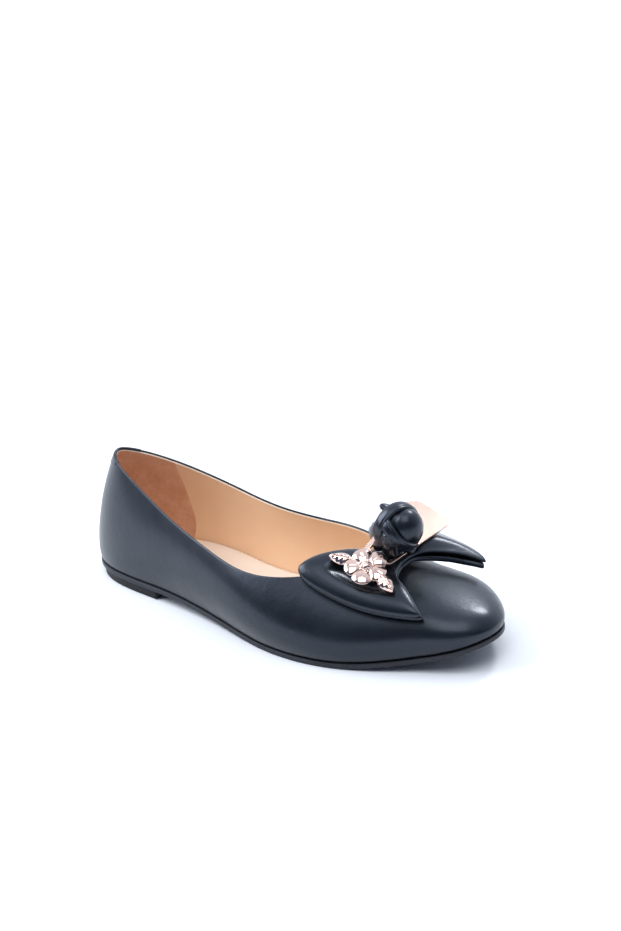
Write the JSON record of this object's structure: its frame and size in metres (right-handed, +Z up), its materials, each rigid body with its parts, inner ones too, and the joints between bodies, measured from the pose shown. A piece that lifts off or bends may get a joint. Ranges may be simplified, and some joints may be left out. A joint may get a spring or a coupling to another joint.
{
  "type": "ballet flat",
  "caption": "Low ballet flat for the right foot: round toe, open collar, low heel block and a padded bow tied with a leather knot, with a metal plate and blossom over it.",
  "frame": {"origin": "middle of the heel block's flat underside, on the floor", "axes": "+X to the toe, +Y to the inner side of the foot, +Z up"},
  "size_m": [0.2444, 0.0879, 0.0734],
  "materials": {
    "sole": "satin",
    "insole": "smooth",
    "upper": "smooth, softly polished",
    "bow": "smooth, softly polished",
    "metal": "polished pale rose gold plating"
  },
  "bodies": {
    "root": {"outsole": "sole", "heel_block": "sole", "insole": "insole", "upper": "upper", "bow_base": "bow", "bow_top": "bow", "knot": "bow", "ornament_plate": "metal", "ornament_blossom": "metal"}
  },
  "joints": []
}
